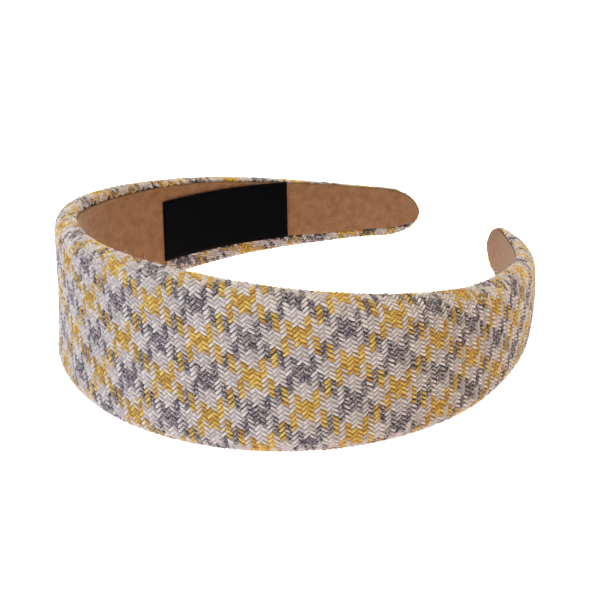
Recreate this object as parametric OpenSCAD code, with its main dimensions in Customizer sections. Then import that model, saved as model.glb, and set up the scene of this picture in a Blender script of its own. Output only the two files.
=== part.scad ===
// Wide padded headband: a U-shaped band wrapped in woven tweed, with a smooth
// lining on the face that meets the head and a woven label on the left limb.
// Millimetres, +Z up. The band lies on its lower edge, the crown towards -Y and
// the tips towards +Y. The origin is at the bottom centre of its bounding box.

/* [Band] */
// Width of the band at the crown
crown_w = 47.5; // [40:0.5:56]
// Width of the band where its tips begin to round off
tip_w = 17.5; // [16:0.5:26]
// Length over which each tip rounds off
tip_round = 13; // [8:0.5:16]
// How much higher the left tip stands than the right one, as the soft band lies
tip_rise = 4; // [0:0.2:5]
// Scale of the plan: 1 is a length of 380 along the face that meets the head
plan_scale = 1; // [0.92:0.01:1.08]

/* [Padding] */
// Thickness of the band at the crown, lining included
crown_t = 6.6; // [5:0.1:8]
// Thickness half way from the crown to a tip
limb_t = 6.6; // [5:0.1:7.5]
// Thickness at the tips
tip_t = 3.7; // [3:0.1:5]
// How far the padded outer face swells between its edges
swell = 0.4; // [0:0.1:1.5]
// Radius of the two edges that face the head
inner_edge_r = 1.3; // [0.6:0.1:1.4]

/* [Lining] */
// Thickness of the lining
lining_t = 1; // [0.8:0.1:1.2]
// How far the lining stands out of the cover around it
lining_proud = 0.3; // [0.1:0.1:0.6]
// Cover left bare above the lining
bare_top = 1.7; // [1.6:0.1:4]
// Cover left bare below the lining
bare_bottom = 4.5; // [2:0.1:6]
// Cover left bare beyond each end of the lining
bare_end = 1.2; // [0.8:0.1:4]

/* [Label] */
// Length of the label along the band
label_len = 44; // [30:0.5:50]
// Width of the label across the band
label_w = 19; // [12:0.5:19]
// Thickness of the label
label_t = 0.8; // [0.6:0.1:1.2]
// Distance from the crown to the middle of the label, along the left limb
label_from_crown = 123.5; // [60:1:130]
// Height of the middle of the label over the middle line of the band
label_up = 0.8; // [-1:0.1:1.5]
// Slant of the label, up towards the tip, in degrees
label_slant = 2.5; // [0:0.5:3]

/* [Hidden] */
COVER_COLOR = "#c2b49c";
LINING_COLOR = "#8f6446";
LABEL_COLOR = "#0e0b0d";

// Each half of the plan is a chain of arcs from the crown to a tip:
// [length along the face that meets the head, radius]
ARCS = [
    [50, 62],
    [47, 58],
    [45, 80],
    [48, 135]
];
LENGTH = 0;
RADIUS = 1;
// Columns of the rows that say where each arc starts
AT = 0;
HEADING = 1;
START_X = 2;
START_Y = 3;

// Gap kept between two pieces that lie on each other
gap = 0.1;
// Rings in the straight run of each half, in each rounded end, and in the label
RUN_RINGS = 32;
END_RINGS = 7;
LABEL_RINGS = 9;
// The share of its width to which a rounded end closes
END_CLOSE = 0.12;
// The share of its thickness that the padding keeps at the very tip
TIP_FLAT = 0.55;
// Steps in the quarter round of an outer edge and of an inner edge, and
// across the outer face
OUTER_STEPS = 5;
INNER_STEPS = 2;
FACE_STEPS = 4;

// The chain of arcs, followed from the crown: where each arc starts, as
// [distance from the crown, heading in degrees, x, y]
function arc_turn(length, r) = length / r * 180 / PI;
function along_arc(start, r, length) =
    let (from = start[HEADING], to = from + arc_turn(length, r))
    [
        start[AT] + length,
        to,
        start[START_X] + r * (sin(to) - sin(from)),
        start[START_Y] + r * (cos(from) - cos(to))
    ];
function arc_starts(row = 0, start = [0, 0, 0, 0]) =
    row == len(ARCS) ? [start] :
    concat([start], arc_starts(row + 1, along_arc(start, ARCS[row][RADIUS], ARCS[row][LENGTH])));
STARTS = arc_starts();
half_arc = STARTS[len(ARCS)][AT];
half_len = half_arc * plan_scale;

// The row of the chain at the distance d from the crown
function arc_at(d, row = 0) =
    row == len(ARCS) - 1 || d < STARTS[row + 1][AT] ? row : arc_at(d, row + 1);
function chain(d) =
    let (row = arc_at(d))
    along_arc(STARTS[row], ARCS[row][RADIUS], d - STARTS[row][AT]);

// The share u runs from -1 at the left tip over 0 at the crown to 1 at the
// right tip. heading is the way the band runs there, place is the point of the
// face that meets the head, and outward is the level way out from the head.
function heading(u) = sign(u) * chain(abs(u) * half_arc)[HEADING];
function place(u) =
    let (row = chain(abs(u) * half_arc))
    plan_scale * [sign(u) * row[START_X], row[START_Y]];
function outward(u) = [sin(heading(u)), -cos(heading(u))];

// Thickness of the band, a parabola through its three given values
t_bend = 2 * (tip_t - crown_t) - 4 * (limb_t - crown_t);
t_slope = tip_t - crown_t - t_bend;
function thickness(u) = crown_t + t_slope * abs(u) + t_bend * u * u;

// Both edges of the band lie in planes, so its half width falls evenly with
// the depth of its middle line
function mid_depth(u) = place(u).y + outward(u).y * thickness(u) / 2;
edge_slope = (crown_w - tip_w) / 2 / (mid_depth(1) - mid_depth(0));
function half_width(u) = crown_w / 2 - edge_slope * (mid_depth(u) - mid_depth(0));

// Share of the width left at u in an end that starts to round off at
// round_from and closes at to, as a quarter of an ellipse
round_from = 1 - tip_round / half_len;
function end_round(u, to) =
    abs(u) <= round_from ? 1 :
    abs(u) >= to ? 0 :
    sqrt(1 - pow((abs(u) - round_from) / (to - round_from), 2));

// Outline of the lining, and of its seat in the cover, which is larger by
// grow: [lower edge, upper edge]
function lining_to(grow) = 1 - (bare_end - grow) / half_len;
function lining_edges(u, grow) =
    let (share = max(end_round(u, lining_to(grow)), END_CLOSE))
    share * [bare_bottom - grow - half_width(u), half_width(u) - bare_top + grow];

// Shares of the rings of a strip whose ends close at to: even along the run,
// and ever closer in the rounded ends
end_angle = acos(END_CLOSE);
function half_rings(to) = [
    for (i = [1 : RUN_RINGS]) round_from * i / RUN_RINGS,
    for (i = [1 : END_RINGS]) round_from + (to - round_from) * sin(end_angle * i / END_RINGS)
];
function both_halves(half) = [
    for (i = [len(half) - 1 : -1 : 0]) -half[i],
    0,
    for (u = half) u
];

// The whole band is tipped until its lower edge is level
rest_tilt = atan(edge_slope);
function tipped(p) = [
    p.x,
    p.y * cos(rest_tilt) + p.z * sin(rest_tilt),
    -p.y * sin(rest_tilt) + p.z * cos(rest_tilt)
];

// A point of the band: o outwards from the face that meets the head, and z up
// from the middle line, which falls from the left tip to the right one
function on_band(u, o, z) =
    let (p = place(u), n = outward(u))
    tipped([p.x + o * n.x, p.y + o * n.y, z - u * tip_rise / 2]);

// Points of a quarter round with its centre at c, from the angle a on
function quarter(c, r, a, steps) = [
    for (i = [0 : steps]) c + r * [cos(a + 90 * i / steps), sin(a + 90 * i / steps)]
];

// Section of the cover at u, as [o, z] points: the lower outer edge, the
// swelling face, the upper outer edge, the upper inner edge, the seat of the
// lining and the lower inner edge
function cover_section(u, in_seat) =
    let (
        end = max(end_round(u, 1), END_CLOSE),
        h = half_width(u) * end,
        lip = lining_proud,
        back = lip + (thickness(u) - lip) * (TIP_FLAT + (1 - TIP_FLAT) * end),
        r_in = min(inner_edge_r, h / 2),
        r_out = min(back - lip - r_in, h * 0.9),
        seat = in_seat ? lining_t + gap : lip,
        edges = lining_edges(u, gap),
        inside = h - r_in - gap / 2,
        low = max(edges[0], -inside),
        high = min(edges[1], inside)
    )
    concat(
        quarter([back - r_out, r_out - h], r_out, -90, OUTER_STEPS),
        [
            for (i = [1 : FACE_STEPS - 1])
                let (q = 2 * i / FACE_STEPS - 1)
                [back + swell * end * (1 - q * q), q * (h - r_out)]
        ],
        quarter([back - r_out, h - r_out], r_out, 0, OUTER_STEPS),
        quarter([lip + r_in, h - r_in], r_in, 90, INNER_STEPS),
        [[lip, high], [seat, high], [seat, low], [lip, low]],
        quarter([lip + r_in, r_in - h], r_in, 180, INNER_STEPS)
    );

// Closed solid through a list of rings of points, with flat ends
module sweep(rings) {
    n = len(rings[0]);
    last = len(rings) - 1;
    sides = [
        for (i = [0 : last - 1]) for (j = [0 : n - 1])
            [i * n + j, i * n + (j + 1) % n, (i + 1) * n + (j + 1) % n, (i + 1) * n + j]
    ];
    first_end = [for (j = [0 : n - 1]) n - 1 - j];
    last_end = [for (j = [0 : n - 1]) last * n + j];
    polyhedron([for (ring = rings) each ring], concat([first_end], sides, [last_end]));
}

// Rings of the cover. Its seat ends in a wall just past the end of the lining.
SEAT_WALL = 0.05;
TIP_RINGS = [0.35, 0.65, 0.85, 1];
seat_half = half_rings(lining_to(gap));
seat_last = seat_half[len(seat_half) - 1];
tip_last = round_from + (1 - round_from) * sin(end_angle);
beyond_seat = [
    seat_last + SEAT_WALL / half_len,
    for (share = TIP_RINGS) seat_last + (tip_last - seat_last) * share
];
cover_rings = [
    for (u = both_halves(concat(seat_half, beyond_seat)))
        [for (p = cover_section(u, abs(u) <= seat_last)) on_band(u, p.x, p.y)]
];

// The bottom centre of the box around the cover is the origin
cover_x = [for (ring = cover_rings) for (p = ring) p.x];
cover_y = [for (ring = cover_rings) for (p = ring) p.y];
cover_z = [for (ring = cover_rings) for (p = ring) p.z];
bottom_centre = [
    (min(cover_x) + max(cover_x)) / 2,
    (min(cover_y) + max(cover_y)) / 2,
    min(cover_z)
];

// Padded band in its tweed, one closed solid
module cover() {
    color(COVER_COLOR)
        translate(-bottom_centre)
            sweep(cover_rings);
}

// Smooth strip that meets the head, with its inner edges eased
module lining() {
    ease = lining_t * 0.3;
    color(LINING_COLOR)
        translate(-bottom_centre)
            sweep([
                for (u = both_halves(half_rings(lining_to(0))))
                    let (z = lining_edges(u, 0))
                    [
                        on_band(u, lining_t, z[0]),
                        on_band(u, lining_t, z[1]),
                        on_band(u, ease, z[1]),
                        on_band(u, 0, z[1] - ease),
                        on_band(u, 0, z[0] + ease),
                        on_band(u, ease, z[0])
                    ]
            ]);
}

// Flat woven label, which follows the lining
module label() {
    color(LABEL_COLOR)
        translate(-bottom_centre)
            sweep([
                for (i = [0 : LABEL_RINGS - 1])
                    let (
                        along = label_len * (i / (LABEL_RINGS - 1) - 0.5),
                        u = (along - label_from_crown) / half_len,
                        middle = label_up - along * tan(label_slant),
                        low = middle - label_w / 2,
                        high = middle + label_w / 2
                    )
                    [
                        on_band(u, -gap, low),
                        on_band(u, -gap, high),
                        on_band(u, -gap - label_t, high),
                        on_band(u, -gap - label_t, low)
                    ]
            ]);
}

cover();
lining();
label();
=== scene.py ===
"""Padded headband in herringbone tweed: its cloth, yarns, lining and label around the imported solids.

A place on the band is s, o and z: s runs along the face that meets the head, from the left tip over the
crown, which is 0, to the right tip, o stands outwards from that face, and z runs up across the width.
A place on the flat cloth is a along it and b across it, and one in the weave is a column x and a row y.
Sizes are in millimetres, repeated from the part's source where it has them, and turned to metres as a
mesh is made.
"""

import math

import bmesh
import bpy
import numpy as np
from mathutils import Matrix, Vector, kdtree


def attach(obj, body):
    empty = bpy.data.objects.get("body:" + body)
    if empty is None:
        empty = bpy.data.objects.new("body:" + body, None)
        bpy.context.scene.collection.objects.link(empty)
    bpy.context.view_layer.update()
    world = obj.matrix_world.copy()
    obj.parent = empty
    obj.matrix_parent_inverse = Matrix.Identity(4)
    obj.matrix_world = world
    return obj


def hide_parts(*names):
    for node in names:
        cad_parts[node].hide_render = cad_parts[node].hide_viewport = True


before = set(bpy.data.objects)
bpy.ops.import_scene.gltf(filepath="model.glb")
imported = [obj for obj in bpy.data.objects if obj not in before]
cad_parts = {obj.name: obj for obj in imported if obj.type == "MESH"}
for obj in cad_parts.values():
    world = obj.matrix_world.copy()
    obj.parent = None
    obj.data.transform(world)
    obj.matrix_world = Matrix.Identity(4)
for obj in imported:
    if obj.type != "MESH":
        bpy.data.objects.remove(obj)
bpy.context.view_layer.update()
MM = 0.001

# Band. Its curve from the crown to a tip is made of arcs, each with its length and radius.
CROWN_W = 47.5
TIP_W = 17.5
TIP_ROUND = 13.0
TIP_RISE = 4.0
HALF_LENGTH = 190.0
ARCS = [(50, 62), (47, 58), (45, 80), (48, 135)]
ARC_STEP = 0.25

# Padding. The outer face is crowned by SWELL, and the air in it may then move it by SWELL_CAP.
CROWN_T = 6.6
LIMB_T = 6.6
TIP_T = 3.7
TIP_FLAT = 0.55
INNER_EDGE_R = 1.3
TIGHTEST_FOLD_R = 0.15
TUCKED_UNDER = 0.9
SWELL = 0.4
SWELL_CAP = 0.35
AIR_PRESSURE = 160
SWELL_FRAMES = 20

# Lining and label
LINING_T = 1.0
LINING_PROUD = 0.3
BARE_TOP = 1.7
BARE_BOTTOM = 4.5
BARE_END = 0.3
GAP = 0.1
LABEL_LENGTH = 44.0
LABEL_WIDTH = 19.0
LABEL_T = 0.8
LABEL_FROM_CROWN = 123.5
LABEL_UP = 0.8
LABEL_SLANT = 2.5

# The whole part is set on its lower edge by this move
BOTTOM_CENTRE = np.array([0.0, 65.2921, -25.0843])

# The ground lies this far under the solid's face, and the floats of yarn stand on it
GROUND_DEPTH = 0.35

# Where the real band isn't even. A table has rows of (place, value) and is read straight in between.
# How far each edge is drawn in, by the distance from the crown
DRAWN_IN = [(119, 0), (141, 0.35), (160, 0.8), (173, 1.2), (190, 0.9)]
# The inner edge's radius by s: the cloth is pulled tight over it towards the tips
INNER_EDGE_R_BY_S = [(-155, 0.5), (-119, INNER_EDGE_R), (160, INNER_EDGE_R), (182, 0.5)]
# Width of tweed left bare over the lining by s, under it by the distance from the crown, and what the
# left limb adds to that by s
BARE_TOP_BY_S = [
    (-158, 0.55), (-135, 1.2), (-120, 1.2), (-100, 2.0), (-85, 2.8), (-70, 3.2),
    (-60, 3.0), (-45, 2.0), (-30, BARE_TOP), (160, BARE_TOP), (182, 0.3),
]
BARE_BOTTOM_BY_DISTANCE = [(141, BARE_BOTTOM), (158, 2.9)]
BARE_BOTTOM_MORE_BY_S = [(-128, 0), (-114, 1.1), (-96, 1.1), (-84, 0)]
# Moves, each a table by s and one by z that are multiplied. Along the band: both tips are drawn in a
# little, except for the lower half of the right one.
SHIFTS = [
    ([(-190, 0.5), (-150, 0)], [(0, 1)]),
    ([(140, 0), (190, -1)], [(-8, -0.5), (-6, -0.8), (-4, -0.4), (-1, 1.4), (2, 1.9), (9, 1.5)]),
]
# Upwards: the right limb stands a little higher than the left one, the left limb's upper edge a little
# higher than its lower one, and the upper edge dips left of the crown.
LIFTS = [
    ([(95, 0), (115, 0.9), (150, 1.1), (170, 1.0), (190, 0.4)], [(-15, 0.6), (5, 1)]),
    ([(-185, 0.5), (-155, 0)], [(0, 0), (5, 1)]),
    ([(-58, 0), (-38, -0.6), (-22, -0.9), (-2, -0.4), (12, 0)], [(10, 0), (20, 1)]),
]
# Outwards: both edges of the left shoulder lean out, each with the middle and the length of its hump along
# the band and its table by z.
LEANS = [
    (-62, 17, [(-6, -0.27), (20, 0.9)]),
    (-45, 20, [(-24, 0.8), (-17, 0.5), (-12, -0.2), (0, -0.6), (9, -0.3), (14, 0), (20, 0.6)]),
]


def read(table, at):
    places, values = zip(*table)
    return np.interp(at, places, values)


def moved(rows, s, z):
    return sum(read(by_s, s) * read(by_z, z) for by_s, by_z in rows)


def arc_table():
    """Distance from the crown, heading, x, y and radius along the face that meets the head."""
    s = np.arange(0, HALF_LENGTH + ARC_STEP / 2, ARC_STEP)
    heading, x, y, radius = (np.zeros(len(s)) for _ in range(4))
    at = turn = x_0 = y_0 = 0.0
    for length, r in ARCS:
        on = s >= at - 1e-9
        h = turn + (s[on] - at) / r
        heading[on] = h
        radius[on] = r
        x[on] = x_0 + r * (np.sin(h) - math.sin(turn))
        y[on] = y_0 + r * (math.cos(turn) - np.cos(h))
        end = turn + length / r
        x_0 += r * (math.sin(end) - math.sin(turn))
        y_0 += r * (math.cos(turn) - math.cos(end))
        turn = end
        at += length
    return s, heading, x, y, radius


S, HEADING, PLACE_X, PLACE_Y, RADIUS = arc_table()
T_BEND = 2 * (TIP_T - CROWN_T) - 4 * (LIMB_T - CROWN_T)
T_SLOPE = TIP_T - CROWN_T - T_BEND


def thickness(s):
    """Thickness of the padding, on a parabola through its sizes at the crown, mid limb and tip."""
    u = np.abs(s) / HALF_LENGTH
    return CROWN_T + T_SLOPE * u + T_BEND * u * u


def mid_depth(s):
    """How far back the middle of the padding lies."""
    return np.interp(np.abs(s), S, PLACE_Y) - np.cos(np.interp(np.abs(s), S, HEADING)) * thickness(s) / 2


EDGE_SLOPE = (CROWN_W - TIP_W) / 2 / float(mid_depth(HALF_LENGTH) - mid_depth(0.0))
REST_TILT = math.atan(EDGE_SLOPE)


def half_width(s):
    """Half the width, with the last stretch to each tip drawn in a little more than in the solid."""
    return CROWN_W / 2 - EDGE_SLOPE * (mid_depth(s) - mid_depth(0.0)) - read(DRAWN_IN, np.abs(s))


def bare_bottom(s):
    """Width of tweed left bare under the lining."""
    return read(BARE_BOTTOM_BY_DISTANCE, np.abs(s)) + read(BARE_BOTTOM_MORE_BY_S, s)


def end_share(s, to):
    """Share of the width left in an end that rounds off as a quarter of an ellipse and closes at to."""
    start = HALF_LENGTH - TIP_ROUND
    along = np.clip((np.abs(s) - start) / (to - start), 0, 1)
    return np.sqrt(1 - along * along)


def back(s):
    """How far the outer face stands from the face that meets the head."""
    share = TIP_FLAT + (1 - TIP_FLAT) * end_share(s, HALF_LENGTH)
    return LINING_PROUD + (thickness(s) - LINING_PROUD) * share


def on_band(s, o, z):
    """Points in mm in the part's frame."""
    side = np.where(np.asarray(s) < 0, -1.0, 1.0)
    s = s + moved(SHIFTS, s, z)
    o = o + sum(np.exp(-(((s - middle) / long) ** 2)) * read(by_z, z) for middle, long, by_z in LEANS)
    heading = side * np.interp(np.abs(s), S, HEADING)
    x = side * np.interp(np.abs(s), S, PLACE_X) + o * np.sin(heading)
    y = np.interp(np.abs(s), S, PLACE_Y) - o * np.cos(heading)
    z = z - s / HALF_LENGTH * TIP_RISE / 2 + moved(LIFTS, s, z)
    c, n = math.cos(REST_TILT), math.sin(REST_TILT)
    return np.stack([x, y * c + z * n, -y * n + z * c], -1) - BOTTOM_CENTRE


# Distance along the middle of the outer face
OUTER = np.concatenate([[0], np.cumsum(ARC_STEP * (1 + thickness(S[:-1] + ARC_STEP / 2) / RADIUS[:-1]))])


def outer_at(s):
    return np.sign(s) * np.interp(np.abs(s), S, OUTER)


def s_at(a):
    return np.sign(a) * np.interp(np.abs(a), OUTER, S)


def outline():
    """Upper half of the outer face's outline from tip to tip, as (a, b), with its outward normals and
    the radii of the outer and the inner edge there."""
    start = HALF_LENGTH - TIP_ROUND
    # A point for each millimetre, and closer ones round the tips
    turn = np.linspace(0, math.pi / 2, 31)[1:]
    d = np.concatenate([np.linspace(0, start, 178), start + TIP_ROUND * np.sin(turn)])
    s = np.concatenate([-d[:0:-1], d])
    rim = np.stack([outer_at(s), half_width(s) * end_share(s, HALF_LENGTH)], -1)
    loop = np.concatenate([[rim[1] * [1, -1]], rim, [rim[-2] * [1, -1]]])
    along = loop[2:] - loop[:-2]
    along /= np.linalg.norm(along, axis=1)[:, None]
    normal = np.stack([-along[:, 1], along[:, 0]], -1)
    # The radius follows from the thickness where the edge begins, which depends on the radius
    core_s = s
    for _ in range(7):
        inner_r = read(INNER_EDGE_R_BY_S, core_s)
        radius = back(core_s) - LINING_PROUD - inner_r
        core_s = s_at((rim - normal * radius[:, None])[:, 0])
    return rim, normal, radius, inner_r


RIM, RIM_NORMAL, RIM_R, INNER_R = outline()
# The flat middle of the outer face ends on this line
CORE = RIM - RIM_NORMAL * RIM_R[:, None]


def nearest_on_core(a, b):
    """Place on the core's line nearest to each point: the row before it and the share of the step."""
    q = np.stack([a, b], -1)
    near = np.clip(np.searchsorted(CORE[:, 0], a), 1, len(CORE) - 1)
    rows = np.zeros(a.shape, int)
    shares = np.zeros(a.shape)
    best = np.full(a.shape, np.inf)

    def look(row):
        row = np.clip(row, 0, len(CORE) - 2)
        step = CORE[row + 1] - CORE[row]
        share = ((q - CORE[row]) * step).sum(-1) / (step * step).sum(-1)
        share = np.clip(share, 0, 1)
        away = np.linalg.norm(q - CORE[row] - step * share[..., None], axis=-1)
        better = away < best
        best[better] = away[better]
        rows[better] = row[better]
        shares[better] = share[better]

    # Every fourth row first, then the rows beside the best one
    for shift in range(-48, 49, 4):
        look(near + shift)
    for shift in range(-3, 4):
        look(rows + shift)
    return rows, shares, best


def wrap(a, b, height):
    """Folds the flat cloth round the band, for points at a height over the cloth. Returns s, o and z,
    and how far past the core's line each point lies."""
    rows, shares, away = nearest_on_core(a, np.abs(b))
    f = shares[..., None]
    core = CORE[rows] * (1 - f) + CORE[rows + 1] * f
    normal = RIM_NORMAL[rows] * (1 - f) + RIM_NORMAL[rows + 1] * f
    normal /= np.linalg.norm(normal, axis=-1)[..., None]
    r = RIM_R[rows] * (1 - shares) + RIM_R[rows + 1] * shares
    inner_r = INNER_R[rows] * (1 - shares) + INNER_R[rows + 1] * shares
    past = ((np.stack([a, np.abs(b)], -1) - core) * normal).sum(-1) > 0
    d = np.where(past, away, 0)
    over = np.clip(d / r, 0, math.pi / 2)
    under = np.clip((d - r * math.pi / 2) / inner_r, 0, math.pi / 2)
    flat = np.maximum(d - (r + inner_r) * math.pi / 2, 0)
    outer = d <= r * math.pi / 2
    t = back(s_at(core[..., 0]))
    # The ground under a tight edge keeps a small radius of its own
    inner_r_at = np.maximum(inner_r + height, TIGHTEST_FOLD_R)
    out_under = r + height - inner_r_at + inner_r_at * np.cos(under) - flat
    out = np.where(outer, (r + height) * np.sin(over), out_under)
    o = np.where(
        outer, t - r + (r + height) * np.cos(over), LINING_PROUD - height + inner_r_at * (1 - np.sin(under))
    )
    # Both rounds meet at the top of the edge
    o = np.where(outer, o, o + (t - r - LINING_PROUD + height - inner_r_at) * (1 - under / (math.pi / 2)))
    folded = core + normal * out[..., None]
    s = s_at(a)
    share = np.clip(np.abs(b) / np.maximum(np.interp(a, CORE[:, 0], CORE[:, 1]), 0.1), 0, 1)
    o_flat = back(s) + SWELL * end_share(s, HALF_LENGTH) * (1 - share * share) + height
    a = np.where(past, folded[..., 0], a)
    z = np.where(past, folded[..., 1], np.abs(b)) * np.where(b < 0, -1, 1)
    return s_at(a), np.where(past, o, o_flat), z, d


def new_piece(name, points, faces):
    """A smooth mesh object at the origin from points in mm."""
    mesh = bpy.data.meshes.new(name)
    mesh.from_pydata((np.asarray(points) * MM).tolist(), [], faces)
    mesh.polygons.foreach_set("use_smooth", [True] * len(mesh.polygons))
    mesh.update()
    piece = bpy.data.objects.new(name, mesh)
    bpy.context.scene.collection.objects.link(piece)
    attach(piece, "root")
    return piece


def add_attribute(piece, name, values):
    """Keeps a number or a row of three for each point of a piece."""
    values = np.asarray(values, np.float32)
    vector = values.ndim == 2
    made = piece.data.attributes.new(name, "FLOAT_VECTOR" if vector else "FLOAT", "POINT")
    made.data.foreach_set("vector" if vector else "value", values.ravel())


def tube_faces(count, n):
    """Faces between neighbours of so many closed rings of n points."""
    faces = []
    for k in range(count - 1):
        for j in range(n):
            i = (j + 1) % n
            faces.append([k * n + j, (k + 1) * n + j, (k + 1) * n + i, k * n + i])
    return faces


# Column and row of the weave at (a, b), as sums of 1, p, q, p^2, pq, q^2, p^3 and p^2 q, where p and q are
# a and b in these units. Beyond the charted stretch of a the cloth goes on straight.
CHART_MID = 40.0
CHART_A = 50.0
CHART_B = 20.0
CHARTED = (-45.0, 125.0)
WEAVE_X = [2.096, 31.561, 1.751, 0.36, -0.915, 0.27, 0.315, 0.255]
WEAVE_Y = [2.639, 7.048, -15.505, -0.63, -0.54, -0.405, 0.285, -0.42]
# What the left limb adds to that, as sums of u, u^2, uq and u^2 q, where u is the way past that stretch
LIMB_X = [0.27, -0.55, -0.22, -0.17]
LIMB_Y = [2.99, -0.04, -0.1, -0.24]


def weave_at(a, b):
    """Column and row of the weave at a point of the cloth."""
    near = np.clip(a, *CHARTED)
    p = (near - CHART_MID) / CHART_A
    q = b / CHART_B
    terms = np.stack([p * 0 + 1, p, q, p * p, p * q, q * q, p**3, p * p * q], -1)
    slopes = np.stack([p * 0, p * 0 + 1, q * 0, 2 * p, q, q * 0, 3 * p * p, 2 * p * q], -1)
    on = (a - near)[..., None] / CHART_A
    u = np.maximum(CHARTED[0] - a, 0) / CHART_A
    limb = np.stack([u, u * u, u * q, u * u * q], -1)
    x = (terms + slopes * on) @ np.array(WEAVE_X) + limb @ np.array(LIMB_X)
    y = (terms + slopes * on) @ np.array(WEAVE_Y) + limb @ np.array(LIMB_Y)
    return x, y


def cloth_at(x, y):
    """The point of the cloth at a column and row, found in steps that suit a straight weave."""
    straight = np.array([row[1:3] for row in (WEAVE_X, WEAVE_Y)]) / [CHART_A, CHART_B]
    back_again = np.linalg.inv(straight)
    a = np.full(x.shape, CHART_MID)
    b = np.zeros(x.shape)
    for _ in range(14):
        now_x, now_y = weave_at(a, b)
        step = np.stack([x - now_x, y - now_y], -1) @ back_again.T
        a = a + step[..., 0]
        b = b + step[..., 1]
    return a, b


# Order of the yarns' colours in both directions, in sets of four yarns of a colour
YELLOW = 0
WHITE = 1
GREY = 2
ORDER = np.array([YELLOW, WHITE, GREY, WHITE])

# The cloth's grid: how far it reaches and its step, and the coarser one for the swelling
CLOTH_A = 216
CLOTH_B = 36
GRID_STEP = 0.5
COARSE = 4
# Height of the points over the cloth that its normals are taken from
NORMAL_HEIGHT = 0.65


def between(grid, i, j):
    """Reads a grid of numbers, or of rows of numbers, at places between its points."""
    i_0, j_0 = i.astype(int), j.astype(int)
    f, g = i - i_0, j - j_0
    if grid.ndim > 2:
        f, g = f[..., None], g[..., None]
    low = grid[i_0, j_0] * (1 - f) + grid[i_0 + 1, j_0] * f
    high = grid[i_0, j_0 + 1] * (1 - f) + grid[i_0 + 1, j_0 + 1] * f
    return low * (1 - g) + high * g


class ClothGrid:
    """Places and normals of the folded and swollen cloth on a grid, to be read in between."""

    def __init__(self, swollen):
        self.a = np.arange(-CLOTH_A, CLOTH_A + GRID_STEP / 2, GRID_STEP)
        self.b = np.arange(-CLOTH_B, CLOTH_B + GRID_STEP / 2, GRID_STEP)
        a, b = np.meshgrid(self.a, self.b, indexing="ij")
        above = on_band(*wrap(a, b, NORMAL_HEIGHT)[:3])
        s, o, z, past = wrap(a, b, -GROUND_DEPTH)
        ground = on_band(s, o, z)
        normal = above - ground
        normal /= np.linalg.norm(normal, axis=-1)[..., None]
        if swollen:
            ground += normal * self.moves(swollen)[..., None]
        edges = lining_edges(s)
        # How far inside the lining's outline a point of the inner face lies, and below 0 outside it
        inside = np.minimum(z - edges[0], edges[1] - z)
        inside = np.where((past > 0) & (o < LINING_T + GAP), inside, -9.0)
        self.rows = np.concatenate([ground, normal, inside[..., None]], -1)

    def moves(self, swollen):
        """The padding's moves in its simulation, from the nearest points that it was free to move."""
        tree = kdtree.KDTree(len(swollen))
        for k, (spot_a, spot_b, _) in enumerate(swollen):
            tree.insert((spot_a, spot_b, 0), k)
        tree.balance()
        rows, columns = len(self.a), len(self.b)
        coarse = np.zeros((rows // COARSE + 1, columns // COARSE + 1))
        for i in range(coarse.shape[0]):
            for j in range(coarse.shape[1]):
                spot = (self.a[min(COARSE * i, rows - 1)], self.b[min(COARSE * j, columns - 1)], 0)
                near = tree.find_n(spot, 5)
                weights = [1 / (0.3 + away) ** 2 for _, _, away in near]
                total = sum(w * swollen[k][2] for w, (_, k, _) in zip(weights, near))
                coarse[i, j] = total / sum(weights)
        i = np.minimum(np.arange(rows) / COARSE, coarse.shape[0] - 1.001)
        j = np.minimum(np.arange(columns) / COARSE, coarse.shape[1] - 1.001)
        return between(coarse, i[:, None], j[None])

    def at(self, a, b):
        """Place, normal, and how far inside the lining's outline."""
        i = np.clip((a - self.a[0]) / GRID_STEP, 0, len(self.a) - 1.001)
        j = np.clip((b - self.b[0]) / GRID_STEP, 0, len(self.b) - 1.001)
        row = between(self.rows, i, j)
        normal = row[..., 3:6]
        return row[..., :3], normal / np.linalg.norm(normal, axis=-1)[..., None], row[..., 6]


def lining_edges(s):
    """Lower and upper edge of the lining."""
    share = np.maximum(end_share(s, HALF_LENGTH - BARE_END), 0)
    return share * (bare_bottom(s) - half_width(s)), share * (half_width(s) - read(BARE_TOP_BY_S, s))


# A float is one stretch of yarn on the face: an arch over its column that dives under its neighbours at
# both ends. Half its length in columns, its rise in rows to a column, and half its width and its height.
FLOAT_LENGTH = 0.56
FLOAT_SLANT = 1.02
FLOAT_W = 0.46
FLOAT_H = 0.46
# Where its rings stand along it, each one's share of the width and height, and the points across a ring
ALONG = [-1.0, -0.62, 0.0, 0.62, 1.0]
WIDE = [0.42, 0.86, 1.0, 0.86, 0.42]
HIGH = [0.1, 0.78, 1.0, 0.78, 0.1]
ACROSS = [(-1.0, -0.3), (-0.74, 0.6), (0.0, 1.0), (0.74, 0.6), (1.0, -0.3)]
# How far the rows of the falling and of the rising yarns stand from the whole rows
FALLING_AT = -0.19
RISING_AT = 0.28
# Columns and rows that cover the whole cloth, how far along and across it the floats are laid, how far
# their middles keep clear of the lining, and how far the cloth goes on past the round of its inner edge
COLUMNS = (-190, 160)
ROWS = (-90, 95)
SHOWN_A = 214
SHOWN_B = 35
LINING_CLEAR = 0.25
INNER_REACH = 4.0
# Towards the right the floats lie in crisper relief: how much so by a, and what that takes off their
# width and adds to their height
CRISP_BY_A = [(50, 0), (95, 1)]
CRISP_NARROWER = 0.12
CRISP_HIGHER = 0.2
# Tones are drawn for so many yarns in each direction
YARNS = 1200


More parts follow.
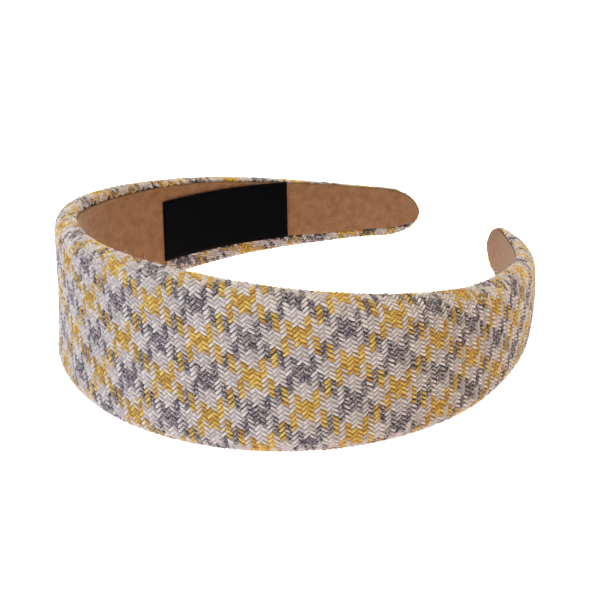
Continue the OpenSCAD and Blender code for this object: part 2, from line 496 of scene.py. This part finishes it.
def floats(grid):
    """Every float of yarn that shows, as its points in mm, its colour and the tone of its yarn."""
    x, y = np.meshgrid(np.arange(*COLUMNS), np.arange(*ROWS))
    x, y = x.ravel().astype(float), y.ravel().astype(float)
    a, b = cloth_at(x, y)
    on_grid = (np.abs(a) < SHOWN_A) & (np.abs(b) < SHOWN_B)
    shows = on_grid & (grid.at(a, b)[2] < -LINING_CLEAR) & laid_once(a, b)
    x, y, a = x[shows], y[shows], a[shows]
    even = x % 2 == 0
    yarn = np.where(even, y - x, y + x - 2)
    colour = ORDER[(np.floor(yarn / 4) % 4).astype(int)]
    lean = np.where(even, 1.0, -1.0)
    row_at = np.where(even, FALLING_AT, RISING_AT)
    # Each float is a little uneven in its row, width, height and tone
    dice = np.random.default_rng(11)
    wobble = dice.normal(0, 1, (len(x), 4))
    rings = []
    for t in ALONG:
        run_x = x + t * FLOAT_LENGTH
        run_y = y + row_at + lean * t * FLOAT_LENGTH * FLOAT_SLANT + 0.05 * wobble[:, 0]
        rings.append(grid.at(*cloth_at(run_x, run_y)))
    crisp = read(CRISP_BY_A, a)
    points = []
    for k, (centre, normal, _) in enumerate(rings):
        ahead = rings[min(k + 1, len(rings) - 1)][0] - rings[max(k - 1, 0)][0]
        side = np.cross(normal, ahead)
        side /= np.linalg.norm(side, axis=-1)[:, None]
        w = FLOAT_W * WIDE[k] * (1 - CRISP_NARROWER * crisp) * (1 + 0.05 * wobble[:, 1])
        h = FLOAT_H * HIGH[k] * (1 + CRISP_HIGHER * crisp) * (1 + 0.08 * wobble[:, 2])
        for across, up in ACROSS:
            points.append(centre + side * (w * across)[:, None] + normal * (h * up)[:, None])
    points = np.stack(points, 1)
    # Each yarn keeps its own tone from float to float
    yarns = dice.normal(0, 1, (2, YARNS))
    own = np.where(even, *(tones[yarn.astype(int) % YARNS] for tones in yarns))
    tone = np.clip(0.5 + 0.14 * own + 0.16 * wobble[:, 3], 0, 1)
    return points, colour, tone


def laid_once(a, b):
    """True on the outer face and a short way in on the inner one, so that no cloth lies twice in a tip."""
    rows, _, away = nearest_on_core(a, np.abs(b))
    limit = (RIM_R[rows] + INNER_R[rows]) * math.pi / 2 + INNER_REACH
    return (away < limit) | (np.abs(b) < CORE[rows, 1])


def float_faces():
    n = len(ACROSS)
    faces = []
    for k in range(len(ALONG) - 1):
        for j in range(n - 1):
            faces.append([k * n + j, (k + 1) * n + j, (k + 1) * n + j + 1, k * n + j + 1])
    return faces


def lay_yarn(name, points, tone, pattern):
    """Many copies of one small shape in one mesh, each with its own points and tone."""
    each = points.shape[1]
    faces = np.array(pattern)[None] + each * np.arange(len(points))[:, None, None]
    piece = new_piece(name, points.reshape(-1, 3), faces.reshape(-1, 4).tolist())
    add_attribute(piece, "tone", np.repeat(tone, each))
    return piece


# Loose fibres: their number, how far along the cloth, their radius, and the share of them at the upper edge
STRAYS = 420
STRAY_A = 150
STRAY_R = 0.045
STRAYS_ON_TOP = 0.75


def stray_fibres(grid):
    """Loose fibres that stand off the edges of the cloth, each a thin three-sided hair that bends over."""
    dice = np.random.default_rng(5)
    a = dice.uniform(-STRAY_A, STRAY_A, STRAYS)
    past_core = np.interp(a, CORE[:, 0], RIM_R) * dice.uniform(0.7, 1.9, STRAYS)
    b = np.interp(a, CORE[:, 0], CORE[:, 1]) + past_core
    place, normal, _ = grid.at(a, b * np.where(dice.random(STRAYS) < STRAYS_ON_TOP, 1, -1))
    away = dice.normal(0, 1, (STRAYS, 3))
    away -= normal * (away * normal).sum(-1)[:, None]
    away /= np.linalg.norm(away, axis=-1)[:, None]
    side = np.cross(away, normal)
    length = dice.uniform(0.7, 1.9, STRAYS)[:, None]
    rise = dice.uniform(0.25, 0.75, STRAYS)[:, None]
    points = []
    for t, thick in ((0.0, 1.0), (0.35, 0.9), (0.7, 0.75), (1.0, 0.35)):
        up = 0.3 + length * rise * (1.6 * t - 0.7 * t * t)
        out = length * t * (0.5 + 0.5 * t)
        spot = place + normal * up + away * out
        for angle in (0, 2 * math.pi / 3, 4 * math.pi / 3):
            points.append(spot + (side * math.cos(angle) + normal * math.sin(angle)) * STRAY_R * thick)
    faces = []
    for k in range(3):
        for j in range(3):
            i = (j + 1) % 3
            faces.append([3 * k + j, 3 * k + i, 3 * k + 3 + i, 3 * k + 3 + j])
    return lay_yarn("stray_fibres", np.stack(points, 1), dice.uniform(0, 1, STRAYS), faces)


# Shares of the way round the outer and the inner edge, and of the stretch tucked under the lining, at which
# the padding has points
ROUND_OUTER = np.array([0, 0.2, 0.4, 0.6, 0.8, 1.0])
ROUND_INNER = np.array([0.35, 0.7, 1.0])
TUCKED = np.array([0.5, 1.0])
# Of a ring's points past the core's line, the air moves so many, and the seams hold the rest
FREE_PAST_CORE = len(ROUND_OUTER) + 2


def edge_fold(k, side):
    """Half a ring of the padding at a row of the core: over the upper edge, side 1, or the lower one, -1,
    in under the lining and down the wall of its seat. Returns its points, their places on the cloth, and
    s and z at its end."""
    r = RIM_R[k]
    inner_r = INNER_R[k]
    rim_s = s_at(RIM[k, 0])
    along_tip = min(1, max(0, (abs(rim_s) - HALF_LENGTH + TIP_ROUND) / TIP_ROUND))
    tip = math.sin(math.pi / 2 * along_tip)
    bare = float(read(BARE_TOP_BY_S, rim_s) if side > 0 else bare_bottom(rim_s))
    inner = bare * (1 - tip) + BARE_END * tip - inner_r + TUCKED_UNDER
    d = np.concatenate([
        ROUND_OUTER * r * math.pi / 2,
        r * math.pi / 2 + inner_r * math.pi / 2 * ROUND_INNER,
        (r + inner_r) * math.pi / 2 + inner * TUCKED,
    ])
    cloth = CORE[k] + RIM_NORMAL[k] * d[:, None]
    s, o, z, _ = wrap(cloth[:, 0], cloth[:, 1], -GROUND_DEPTH)
    wall = on_band(s[-1:], LINING_T + GAP, z[-1:] * side)
    points = np.concatenate([on_band(s, o, z * side), wall])
    cloth = cloth * [1, side]
    return points, np.concatenate([cloth, cloth[-1:]]), s[-1], z[-1] * side


def pad():
    """The padded band under the yarns, one closed crowned form, with the seat of the lining."""
    last = len(CORE) - 1
    picked = [0]
    while picked[-1] < last:
        k = picked[-1]
        near_tip = min(k, last - k) < 32
        picked.append(min(last, k + (1 if near_tip else 2)))
    flat_steps = np.linspace(-1, 1, 15)[1:-1]
    seat_steps = np.linspace(-1, 1, 11)[1:-1]
    rings = []
    charts = []
    for k in picked:
        top, top_cloth, top_s, top_z = edge_fold(k, 1)
        low, low_cloth, _, low_z = edge_fold(k, -1)
        a = np.full(len(flat_steps), CORE[k, 0])
        b = CORE[k, 1] * flat_steps
        face = on_band(*wrap(a, b, -GROUND_DEPTH)[:3])
        seat_z = low_z + (top_z - low_z) * (1 - seat_steps) / 2
        seat = on_band(np.full(len(seat_steps), top_s), LINING_T + GAP, seat_z)
        seat_cloth = np.stack([np.full(len(seat_steps), top_cloth[-1, 0]), seat_z], -1)
        # From the lower core line up the face, over the top edge, down the seat and round the lower edge
        rings.append(np.concatenate([low[:1], face, top, seat, low[:0:-1]]))
        face_cloth = np.stack([a, b], -1)
        charts.append(np.concatenate([low_cloth[:1], face_cloth, top_cloth, seat_cloth, low_cloth[:0:-1]]))
    n = len(rings[0])
    piece = new_piece("tweed_padding", np.concatenate(rings), tube_faces(len(rings), n))
    cloth = np.concatenate(charts)
    x, y = weave_at(cloth[:, 0], cloth[:, 1])
    held = np.zeros(n)
    held[1 + len(flat_steps) + FREE_PAST_CORE : n - FREE_PAST_CORE] = 1
    add_attribute(piece, "weave", np.stack([x, y, x * 0], -1))
    add_attribute(piece, "cloth", np.column_stack([cloth, np.tile(held, len(rings))]))
    clean(piece)
    return piece


def swell(piece):
    """Lets the air in the padding press it against its cover in a short cloth simulation, held along the
    seams, and puts the result into the mesh. Returns for each free point its place on the cloth and its
    move in mm."""
    mesh = piece.data
    count = len(mesh.vertices)
    before, normal, after, on_cloth = (np.zeros(count * 3, np.float32) for _ in range(4))
    mesh.vertices.foreach_get("co", before)
    mesh.vertices.foreach_get("normal", normal)
    mesh.attributes["cloth"].data.foreach_get("vector", on_cloth)
    on_cloth = on_cloth.reshape(-1, 3).astype(float)
    held = on_cloth[:, 2] > 0.5
    group = piece.vertex_groups.new(name="held")
    group.add(np.nonzero(held)[0].tolist(), 1.0, "REPLACE")
    cloth = piece.modifiers.new("cloth", "CLOTH")
    cloth.settings.quality = 5
    cloth.settings.mass = 0.1
    cloth.settings.tension_stiffness = 8
    cloth.settings.compression_stiffness = 8
    cloth.settings.shear_stiffness = 4
    cloth.settings.bending_stiffness = 0.4
    cloth.settings.use_pressure = True
    cloth.settings.uniform_pressure_force = AIR_PRESSURE
    cloth.settings.effector_weights.gravity = 0
    cloth.settings.vertex_group_mass = "held"
    cloth.collision_settings.use_collision = False
    cloth.point_cache.frame_start = 1
    cloth.point_cache.frame_end = SWELL_FRAMES
    scene = bpy.context.scene
    for number in range(1, SWELL_FRAMES + 1):
        scene.frame_set(number)
    shaped = piece.evaluated_get(bpy.context.evaluated_depsgraph_get()).to_mesh()
    shaped.vertices.foreach_get("co", after)
    piece.modifiers.remove(cloth)
    piece.vertex_groups.clear()
    scene.frame_set(1)
    before, normal, after = (v.reshape(-1, 3).astype(float) for v in (before, normal, after))
    move = ((after - before) * normal).sum(-1) / MM
    # The solid's size stays, so the middle move counts as none
    move = np.where(held, 0, np.clip(move - np.median(move[~held]), -SWELL_CAP, SWELL_CAP))
    mesh.vertices.foreach_set("co", (before + normal * (move * MM)[:, None]).astype(np.float32).ravel())
    mesh.update()
    return [(a, b, m) for (a, b, is_held), m in zip(on_cloth, move) if is_held <= 0.5]


def clean(piece):
    """Closes the seams and poles and turns the faces outwards."""
    shape = bmesh.new()
    shape.from_mesh(piece.data)
    bmesh.ops.remove_doubles(shape, verts=shape.verts, dist=0.02 * MM)
    bmesh.ops.dissolve_degenerate(shape, edges=shape.edges, dist=0.005 * MM)
    bmesh.ops.recalc_face_normals(shape, faces=shape.faces)
    shape.to_mesh(piece.data)
    shape.free()


# Depth at which the lining's eased edge has points, and how wide its rounding is
EDGE_DEPTHS = (0.45, 0.14)
LINING_EDGE = 0.35


def lining():
    """The smooth strip that meets the head: a thin sheet with eased edges and rounded ends."""
    to = HALF_LENGTH - BARE_END
    start = HALF_LENGTH - TIP_ROUND
    turn = np.linspace(0, math.pi / 2, 15)[1:]
    d = np.concatenate([np.linspace(0, start, 100), start + (to - start) * np.sin(turn)])
    all_s = np.concatenate([-d[:0:-1], d])
    across = np.linspace(-1, 1, 17)
    deep, shallow = EDGE_DEPTHS
    rings = []
    for s in all_s:
        low, high = (float(e) for e in lining_edges(s))
        mid, half = (low + high) / 2, (high - low) / 2
        edge = min(LINING_EDGE, half * 0.5)
        # From the back of the lower edge over the face to the back of the upper edge, and behind it down
        points = [(LINING_T, low), (deep, low), (shallow, low + 0.3 * edge)]
        points += [(0.0, mid + (half - edge) * share) for share in across]
        points += [(shallow, high - 0.3 * edge), (deep, high), (LINING_T, high)]
        points += [(LINING_T, mid + half * share) for share in across[::-1][1:-1]]
        o, z = np.array(points).T
        rings.append(on_band(np.full(len(points), s), o, z))
    n = len(rings[0])
    piece = new_piece("suede_lining", np.concatenate(rings), tube_faces(len(rings), n))
    # The points off the lining's face, along its cut edge, on which the suede's material paints shade
    edge_shade_mask = np.ones(n)
    edge_shade_mask[3 : 3 + len(across)] = 0
    add_attribute(piece, "edge", np.tile(edge_shade_mask, len(rings)))
    clean(piece)
    return piece


# The label was cut and sewn on a little askew: its width grows towards the crown and its sides lean
LABEL_WIDER = 1.01
LABEL_WIDER_BY_A = 0.0014
LABEL_LEAN = 0.042
LABEL_PUFF = 0.1


def label():
    """The bare woven label: a flat ribbon whose two ends are folded under."""
    along = np.linspace(-0.5, 0.5, 45) * LABEL_LENGTH
    across = np.linspace(-0.5, 0.5, 21) * LABEL_WIDTH
    a, b = np.meshgrid(along, across, indexing="ij")
    b = b * (LABEL_WIDER + LABEL_WIDER_BY_A * a)
    s = a - LABEL_FROM_CROWN + LABEL_LEAN * b
    z = LABEL_UP - a * math.tan(math.radians(LABEL_SLANT)) + b
    # Low waves between the stitched corners, and edges pressed down
    from_end = LABEL_LENGTH / 2 - np.abs(a)
    from_side = LABEL_WIDTH / 2 - np.abs(b)
    puff = LABEL_PUFF * np.clip(from_end / 3, 0, 1) * np.clip(from_side / 3, 0, 1)
    face = -GAP - LABEL_T + 0.22 * np.exp(-from_end / 0.5) + 0.12 * np.exp(-from_side / 0.5) + 0.12
    face = face - puff * np.sin(a * 0.31 + 0.7) * 0.5
    front = on_band(s, face, z)
    rear = on_band(s, np.full(s.shape, -GAP), z)
    points = np.concatenate([front.reshape(-1, 3), rear.reshape(-1, 3)])
    n, m = a.shape
    faces = []
    for i in range(n - 1):
        for j in range(m - 1):
            c = i * m + j
            faces.append([c, c + 1, c + m + 1, c + m])
            faces.append([c + n * m, c + m + n * m, c + m + 1 + n * m, c + 1 + n * m])
    # The four sides join the face to the back
    rim = [i * m for i in range(n)] + [(n - 1) * m + j for j in range(1, m)]
    rim += [i * m + m - 1 for i in range(n - 2, -1, -1)] + [j for j in range(m - 2, 0, -1)]
    for c, e in zip(rim, rim[1:] + rim[:1]):
        faces.append([c, e, e + n * m, c + n * m])
    piece = new_piece("woven_label", points, faces)
    clean(piece)
    return piece


def linear(code):
    """An sRGB hex value as linear colour."""
    parts = [int(code[i : i + 2], 16) / 255 for i in (1, 3, 5)]
    return [c / 12.92 if c <= 0.04045 else ((c + 0.055) / 1.055) ** 2.4 for c in parts] + [1.0]


def feed(tree, node, inputs):
    """Sets inputs of a node to values, or links them to sockets or to the first output of nodes."""
    for name, value in inputs.items():
        if isinstance(value, bpy.types.Node):
            value = value.outputs[0]
        if isinstance(value, bpy.types.NodeSocket):
            tree.links.new(value, node.inputs[name])
        else:
            node.inputs[name].default_value = value


def add(tree, kind, inputs=None, stops=(), **settings):
    """Adds a node with its settings, its inputs and the stops of its colour ramp."""
    node = tree.nodes.new(kind)
    for name, value in settings.items():
        setattr(node, name, value)
    feed(tree, node, inputs or {})
    for number, (place, code) in enumerate(stops):
        if number > 1:
            node.color_ramp.elements.new(place)
        node.color_ramp.elements[number].position = place
        node.color_ramp.elements[number].color = linear(code)
    return node


def material(name, inputs):
    """A material with its tree and its shader, which has these inputs."""
    made = bpy.data.materials.new(name)
    made.use_nodes = True
    shader = made.node_tree.nodes["Principled BSDF"]
    feed(made.node_tree, shader, inputs)
    return made, made.node_tree, shader


def per_metre(size):
    """Scale of a noise whose patches have a size in mm."""
    return 1 / (size * MM)


def yarn_material(name, tones, dark_flecks, light_flecks):
    """Soft spun wool and cotton yarn: matt, with its own tone from yarn to yarn, and mottled by fibres.
    The tones go from dark to light. The dark flecks have a colour and the values of the noise between
    which they set in, and the light ones, paler fibres that also stand as painted glints, a colour and the
    most that shows of it."""
    look = {"Roughness": 0.88, "Sheen Weight": 0.2, "Sheen Roughness": 0.45, "Specular IOR Level": 0.25}
    made, tree, shader = material(name, look)
    here = add(tree, "ShaderNodeTexCoord").outputs["Object"]
    tone = add(tree, "ShaderNodeAttribute", attribute_name="tone").outputs["Fac"]
    # Stretches of tone, tufts of fibre that are as coarse as they need to show, and single fibres
    patch = add(tree, "ShaderNodeTexNoise", {"Vector": here, "Scale": per_metre(3.846), "Detail": 2.0})
    tuft = add(tree, "ShaderNodeTexNoise", {"Vector": here, "Scale": per_metre(0.625), "Detail": 1.0})
    fibre = add(tree, "ShaderNodeTexNoise", {"Vector": here, "Scale": per_metre(0.2381), "Detail": 1.0})
    shade = add(tree, "ShaderNodeMix", {0: 0.4, 2: tone, 3: patch})
    body = add(tree, "ShaderNodeValToRGB", {"Fac": shade}, stops=list(zip((0.3, 0.5, 0.7), tones)))
    spots = add(tree, "ShaderNodeMix", {0: 0.3, 2: tuft, 3: fibre})
    fleck, begin, full = dark_flecks
    dim = add(tree, "ShaderNodeMapRange", {"Value": spots, "From Min": begin, "From Max": full})
    darker = add(tree, "ShaderNodeMix", {0: dim, 6: body, 7: linear(fleck)}, data_type="RGBA")
    # Paler fibres scattered by noise, which also stand as painted glints of fibres catching the light
    glint, most = light_flecks
    spread = {"Value": spots, "From Min": 0.48, "From Max": 0.3, "To Max": most}
    lit = add(tree, "ShaderNodeMapRange", spread)
    colour = add(tree, "ShaderNodeMix", {0: lit, 6: darker.outputs[2], 7: linear(glint)}, data_type="RGBA")
    bump = add(tree, "ShaderNodeBump", {"Height": fibre, "Strength": 0.4, "Distance": 0.0002})
    feed(tree, shader, {"Base Color": colour.outputs[2], "Normal": bump})
    return made


def ground_material():
    """What shows between the floats: both yarns that cross there, in colours painted darker than their own
    as painted shade in the gaps, each in the other's shade, so of every pair the darker one."""
    made, tree, shader = material("tweed_under_yarns", {"Roughness": 0.95, "Specular IOR Level": 0.1})
    place = add(tree, "ShaderNodeAttribute", attribute_name="weave").outputs["Vector"]
    weave = add(tree, "ShaderNodeSeparateXYZ", {0: place})
    colours = []
    for slant, shift in (("SUBTRACT", FALLING_AT), ("ADD", 2.0 + RISING_AT)):
        # The nearest yarn in this direction, its set of four, and the set's place in the order of colours
        order = add(tree, "ShaderNodeMath", {0: weave.outputs[1], 1: weave.outputs[0]}, operation=slant)
        for step, number in (
            ("SUBTRACT", shift), ("ADD", 0.5), ("FLOOR", 0.0),
            ("DIVIDE", 4.0), ("FLOOR", 0.0),
            ("FLOORED_MODULO", 4.0), ("DIVIDE", 4.0),
        ):
            order = add(tree, "ShaderNodeMath", {0: order, 1: number}, operation=step)
        # The yarns' colours darkened: painted shade in the gaps between the floats
        stops = [(0.0, "#956f2d"), (0.2, "#a6978d"), (0.45, "#483e42"), (0.7, "#a6978e")]
        ramp = add(tree, "ShaderNodeValToRGB", {"Fac": order}, stops=stops)
        ramp.color_ramp.interpolation = "CONSTANT"
        colours.append(ramp.outputs["Color"])
    pair = {0: 1.0, 6: colours[0], 7: colours[1]}
    darker = add(tree, "ShaderNodeMix", pair, data_type="RGBA", blend_type="DARKEN")
    feed(tree, shader, {"Base Color": darker.outputs[2]})
    return made


def suede_material():
    """Thin microfibre suede: matt tan with a soft nap that clouds a little, and painted shade along its cut
    edges.
    """
    look = {"Roughness": 0.9, "Sheen Weight": 0.12, "Sheen Roughness": 0.4, "Specular IOR Level": 0.2}
    made, tree, shader = material("microfibre_suede", look)
    here = add(tree, "ShaderNodeTexCoord").outputs["Object"]
    cloud = add(tree, "ShaderNodeTexNoise", {"Vector": here, "Scale": per_metre(2.381), "Detail": 3.0})
    # The nap is drawn as coarse as it needs to show
    nap = add(tree, "ShaderNodeTexNoise", {"Vector": here, "Scale": per_metre(0.3125), "Detail": 2.0})
    both = add(tree, "ShaderNodeMix", {0: 0.4, 2: cloud, 3: nap})
    body = add(tree, "ShaderNodeValToRGB", {"Fac": both}, stops=[(0.35, "#7c5335"), (0.65, "#92674a")])
    # Painted shade along the cut edge, where the lining meets the tweed
    edge = add(tree, "ShaderNodeAttribute", attribute_name="edge").outputs["Fac"]
    painted_edge_shade = add(tree, "ShaderNodeMath", {0: edge, 1: 0.6}, operation="MULTIPLY")
    colour = add(tree, "ShaderNodeMix", {0: painted_edge_shade, 6: body, 7: linear("#4a301f")}, data_type="RGBA")
    bump = add(tree, "ShaderNodeBump", {"Height": nap, "Strength": 0.3, "Distance": 0.0002})
    feed(tree, shader, {"Base Color": colour.outputs[2], "Normal": bump})
    return made


# Distance between the ribs of the label, which are drawn as coarse as they need to show. The wave texture
# has 20 radians to a unit.
RIB_STEP = 0.98175
RIB_SCALE = 2 * math.pi / 20 / (RIB_STEP * MM)


def label_material():
    """Black damask ribbon: fine ribs across it and a faint satin sheen."""
    made, tree, shader = material("black_damask", {"Roughness": 0.7, "Specular IOR Level": 0.03})
    here = add(tree, "ShaderNodeTexCoord").outputs["Object"]
    ribs = {"Vector": here, "Scale": RIB_SCALE, "Distortion": 0.4}
    rib = add(tree, "ShaderNodeTexWave", ribs, bands_direction="Z").outputs["Fac"]
    shades = {0: rib, 6: linear("#030304"), 7: linear("#060507")}
    colour = add(tree, "ShaderNodeMix", shades, data_type="RGBA")
    bump = add(tree, "ShaderNodeBump", {"Height": rib, "Strength": 0.1, "Distance": 0.0001})
    feed(tree, shader, {"Base Color": colour.outputs[2], "Normal": bump})
    return made


def build():
    padding = pad()
    padding.data.materials.append(ground_material())
    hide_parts("cover")

    grid = ClothGrid(swell(padding))
    points, colour, tone = floats(grid)
    mustard = yarn_material(
        "mustard_wool", ("#a27430", "#bb9343", "#cea755"), ("#915020", 0.53, 0.76), ("#ddbf7e", 0.55)
    )
    white = yarn_material(
        "off_white_wool", ("#ac9b98", "#bcaba7", "#c8b9b4"), ("#877577", 0.55, 0.8), ("#d6c7c2", 0.5)
    )
    grey = yarn_material(
        "grey_melange", ("#675b62", "#877879", "#a59491"), ("#312733", 0.47, 0.64), ("#c5b3af", 0.8)
    )
    yarns = [("yellow_yarn", YELLOW, mustard), ("white_yarn", WHITE, white), ("grey_yarn", GREY, grey)]
    for name, which, finish in yarns:
        chosen = colour == which
        piece = lay_yarn(name, points[chosen], tone[chosen], float_faces())
        piece.data.materials.append(finish)
    stray_fibres(grid).data.materials.append(white)

    strip = lining()
    strip.data.materials.append(suede_material())
    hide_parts("lining")

    tag = label()
    tag.data.materials.append(label_material())
    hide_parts("label")


def studio():
    bpy.ops.mesh.primitive_plane_add(size=6, location=(0, 0, 0))
    floor = bpy.context.object
    floor.name = "floor"
    # A white light table: its own glow takes most of the shadow out of the paper
    paper = {
        "Base Color": linear("#fbfbfb"), "Roughness": 0.9, "Specular IOR Level": 0.1,
        "Emission Color": linear("#fbf7fb"), "Emission Strength": 0.9,
    }
    floor.data.materials.append(material("white_paper", paper)[0])

    world = bpy.data.worlds.new("studio")
    world.use_nodes = True
    bpy.context.scene.world = world
    sky = world.node_tree.nodes["Background"]
    sky.inputs["Color"].default_value = linear("#fff7e5")
    sky.inputs["Strength"].default_value = 0.15
    # A large light overhead, a cool one at the front left, a weak warm one at the front right and a weak
    # cool one at the far left. Each has its place and size in metres, its power in watts and its colour.
    for name, place, size, power, colour in (
        ("overhead", (0.0, 0.3, 3.0), 2.0, 122.0, "#feffec"),
        ("window", (-0.5, -1.6, 0.7), 1.0, 19.8, "#b0daff"),
        ("lamp", (1.7, 0.1, 0.6), 0.9, 1.71, "#ffcf3d"),
        ("sky", (-1.6, -1.1, 0.5), 0.9, 2.26, "#bcdbff"),
    ):
        light = bpy.data.lights.new(name, "AREA")
        light.size = size
        light.energy = power
        light.color = linear(colour)[:3]
        holder = bpy.data.objects.new(name, light)
        holder.location = place
        holder.rotation_mode = "QUATERNION"
        holder.rotation_quaternion = (Vector((0, 0, 0.02)) - Vector(place)).to_track_quat("-Z", "Y")
        bpy.context.scene.collection.objects.link(holder)
    bpy.context.scene.view_settings.view_transform = "Standard"


# The camera was worked out from the photo: its angles in degrees round, up and turned, the point it looks
# at and its distance in mm, and its focal length in pixels of a picture of this size.
CAMERA_ANGLES = (42.555, 24.834, -2.843)
CAMERA_AT = Vector((9.522, -13.460, 19.822))
CAMERA_AWAY = 454.107
FOCAL_PX = 1606.07
PICTURE_PX = 600
SENSOR_MM = 36


def camera():
    azimuth, height, roll = (math.radians(angle) for angle in CAMERA_ANGLES)
    flat = math.cos(height)
    away = Vector((math.sin(azimuth) * flat, -math.cos(azimuth) * flat, math.sin(height)))
    level = Vector((math.cos(azimuth), math.sin(azimuth), 0))
    rise = away.cross(level)
    right = math.cos(roll) * level + math.sin(roll) * rise
    up = math.cos(roll) * rise - math.sin(roll) * level
    lens = bpy.data.cameras.new("camera")
    lens.sensor_width = SENSOR_MM
    lens.lens = FOCAL_PX / PICTURE_PX * SENSOR_MM
    lens.clip_start = 0.01
    holder = bpy.data.objects.new("camera", lens)
    bpy.context.scene.collection.objects.link(holder)
    turn = Matrix((right, up, away)).transposed().to_4x4()
    holder.matrix_world = Matrix.Translation((CAMERA_AT + CAMERA_AWAY * away) * MM) @ turn
    bpy.context.scene.camera = holder


camera()
build()
studio()
